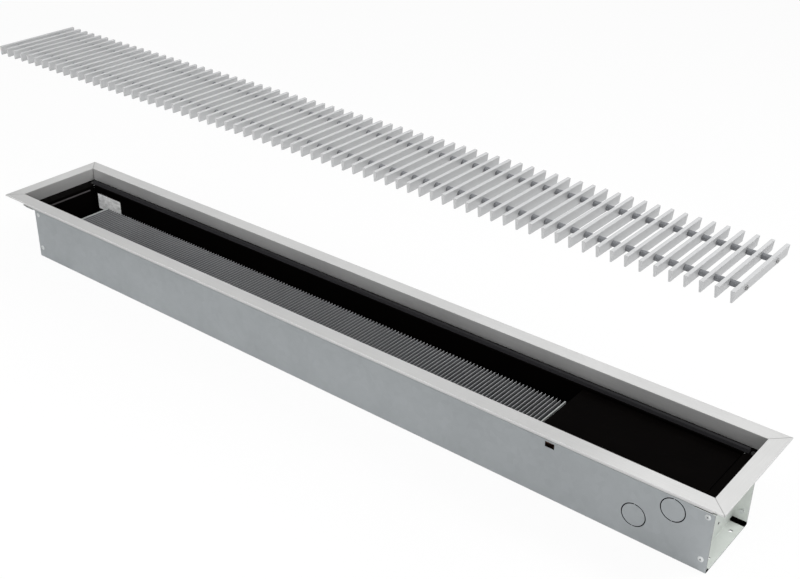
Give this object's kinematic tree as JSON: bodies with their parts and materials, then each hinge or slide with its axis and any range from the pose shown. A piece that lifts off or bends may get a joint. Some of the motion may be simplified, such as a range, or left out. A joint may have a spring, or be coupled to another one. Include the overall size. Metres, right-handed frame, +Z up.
{
  "type": "trench convector heater",
  "caption": "Floor trough with a mitred trim frame, a finned water coil with threaded pipe sockets, a lift-off connection cover and a cross-bar grille shown raised above its seat.",
  "frame": {"origin": "middle of the trough's underside", "axes": "+X along the trough towards the pipe connections, -Y the side wall with the knockouts, +Z up, out of the floor"},
  "size_m": [1.25, 0.18, 0.3605],
  "materials": {
    "galvanised_steel": "galvanised sheet outside, matt black paint inside",
    "rivet_steel": "plain blind rivets",
    "zinc_steel": "bright zinc plating",
    "frame_aluminium": "natural satin anodised",
    "damping_rubber": "matt dark grey strip",
    "fin_aluminium": "thin mill finish sheet",
    "copper": "plain copper tube, slightly dulled",
    "bracket_steel": "galvanised sheet",
    "brass": "machined brass",
    "nickel_brass": "nickel plated",
    "black_paint": "semi-gloss black powder coat",
    "grille_aluminium": "natural satin anodised",
    "rod_steel": "drawn steel rod",
    "spacer_plastic": "grey spacer tube",
    "dark_screw": "blackened steel"
  },
  "bodies": {
    "casing": {"trough": "galvanised_steel", "end_plate_left": "galvanised_steel", "end_plate_right": "galvanised_steel", "end_rivets": "rivet_steel", "ledge_screws": "zinc_steel", "pipe_knockouts": "galvanised_steel", "frame_rail_front": "frame_aluminium", "frame_rail_back": "frame_aluminium", "frame_rail_left": "frame_aluminium", "frame_rail_right": "frame_aluminium", "frame_corner_angles": "zinc_steel", "damping_strip_front": "damping_rubber", "damping_strip_back": "damping_rubber", "fins": "fin_aluminium", "copper_tubes": "copper", "return_bend": "copper", "bracket_left": "bracket_steel", "bracket_right": "bracket_steel", "bracket_studs": "zinc_steel", "bracket_washers": "zinc_steel", "bracket_nuts": "zinc_steel", "flow_socket": "brass", "return_socket": "brass", "cover_rails": "black_paint"},
    "grille": {"grille_bars": "grille_aluminium", "grille_rods": "rod_steel", "grille_spacers": "spacer_plastic", "grille_end_screws": "dark_screw"},
    "cover": {"connection_cover": "black_paint"},
    "vent": {"vent_screw": "nickel_brass"}
  },
  "joints": [
    {"name": "grille_lift", "type": "slide", "parent": "casing", "child": "grille", "axis": [-0.0509, 0, 0.9987], "range_m": [-0.24552, 0]},
    {"name": "cover_lift", "type": "slide", "parent": "casing", "child": "cover", "axis": [0, 0, 1], "range_m": [0, 0.05]},
    {"name": "vent_turn", "type": "hinge", "parent": "casing", "child": "vent", "pos_m": [0.417, 0.00925, 0.0825], "axis": [0, 0, 1], "range_deg": [0, 360]}
  ]
}
